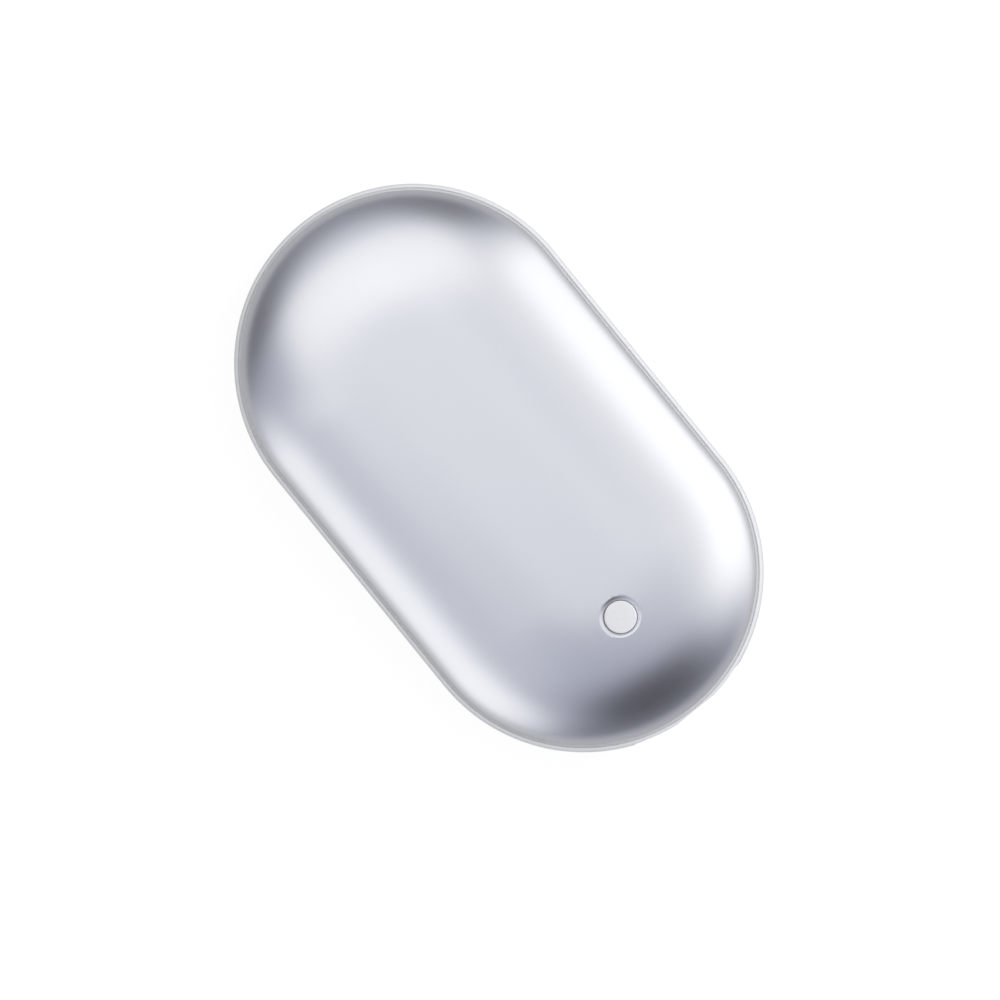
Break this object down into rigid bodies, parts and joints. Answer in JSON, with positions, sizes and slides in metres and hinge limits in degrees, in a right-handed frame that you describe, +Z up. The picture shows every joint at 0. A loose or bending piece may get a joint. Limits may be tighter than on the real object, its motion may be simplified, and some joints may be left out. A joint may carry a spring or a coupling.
{
  "type": "rechargeable hand warmer",
  "caption": "Pocket hand warmer: domed aluminium shells on a moulded mid frame, with cells, heaters, a board, charging ports and a push button.",
  "frame": {"origin": "centre of the flat land of the back shell, which the warmer rests on", "axes": "+Z up through the front shell and its button, -Y out of the charging ports, +X to the right seen from the front with the ports at the bottom"},
  "size_m": [0.0612, 0.1065, 0.0271],
  "materials": {
    "shell_aluminium": "bead blasted and clear anodised, satin",
    "frame_plastic": "moulded white ABS, fine texture",
    "button_plastic": "milky polycarbonate, satin",
    "cell_can": "blue shrink sleeve",
    "nickel": "plain nickel strip",
    "washer_paper": "barley paper",
    "heater_film": "polyimide film over an etched foil track",
    "foam": "silicone foam",
    "board": "glass fibre laminate with green solder mask",
    "port_steel": "nickel plated, formed sheet",
    "port_plastic": "black nylon",
    "chip_epoxy": "moulded epoxy",
    "ferrite": "pressed ferrite",
    "capacitor_ceramic": "fired ceramic",
    "led": "phosphor under clear resin",
    "clear_plastic": "clear polycarbonate",
    "screw_steel": "zinc plated",
    "red_lead": "silicone insulation",
    "black_lead": "silicone insulation",
    "white_lead": "silicone insulation"
  },
  "bodies": {
    "case": {"front_shell": "shell_aluminium", "back_shell": "shell_aluminium", "mid_frame": "frame_plastic", "button_collar": "port_plastic", "cell_left": "cell_can", "cell_right": "cell_can", "washer_left": "washer_paper", "washer_right": "washer_paper", "positive_strip": "nickel", "negative_strip": "nickel", "positive_lead": "red_lead", "negative_lead": "black_lead", "front_heater": "heater_film", "back_heater": "heater_film", "front_foam_pad": "foam", "back_foam_pad": "foam", "front_thermistor": "ferrite", "back_thermistor": "ferrite", "front_heater_lead_1": "white_lead", "front_heater_lead_2": "white_lead", "back_heater_lead_1": "white_lead", "back_heater_lead_2": "white_lead", "main_board": "board", "board_screw_1": "screw_steel", "board_screw_2": "screw_steel", "board_screw_3": "screw_steel", "usb_a_shell": "port_steel", "usb_a_tongue": "port_plastic", "usb_c_shell": "port_steel", "usb_c_tongue": "port_plastic", "inductor": "ferrite", "power_chip": "chip_epoxy", "heater_switch_1": "chip_epoxy", "heater_switch_2": "chip_epoxy", "capacitor_1": "capacitor_ceramic", "capacitor_2": "capacitor_ceramic", "indicator_led_1": "led", "indicator_led_2": "led", "indicator_led_3": "led", "indicator_led_4": "led", "light_guide": "clear_plastic", "switch_body": "chip_epoxy"},
    "button": {"power_button": "button_plastic"},
    "plunger": {"switch_plunger": "port_plastic"}
  },
  "joints": [
    {"name": "button_press", "type": "slide", "parent": "case", "child": "button", "axis": [0, 0, -1], "range_m": [0, 0.0004], "stiffness_N_per_m": 3000, "springref_m": -0.0002},
    {"name": "plunger_press", "type": "slide", "parent": "case", "child": "plunger", "axis": [0, 0, -1], "range_m": [0, 0.0004]}
  ],
  "couplings": [
    {"joint": "plunger_press", "follows": "button_press", "ratio": 1}
  ]
}
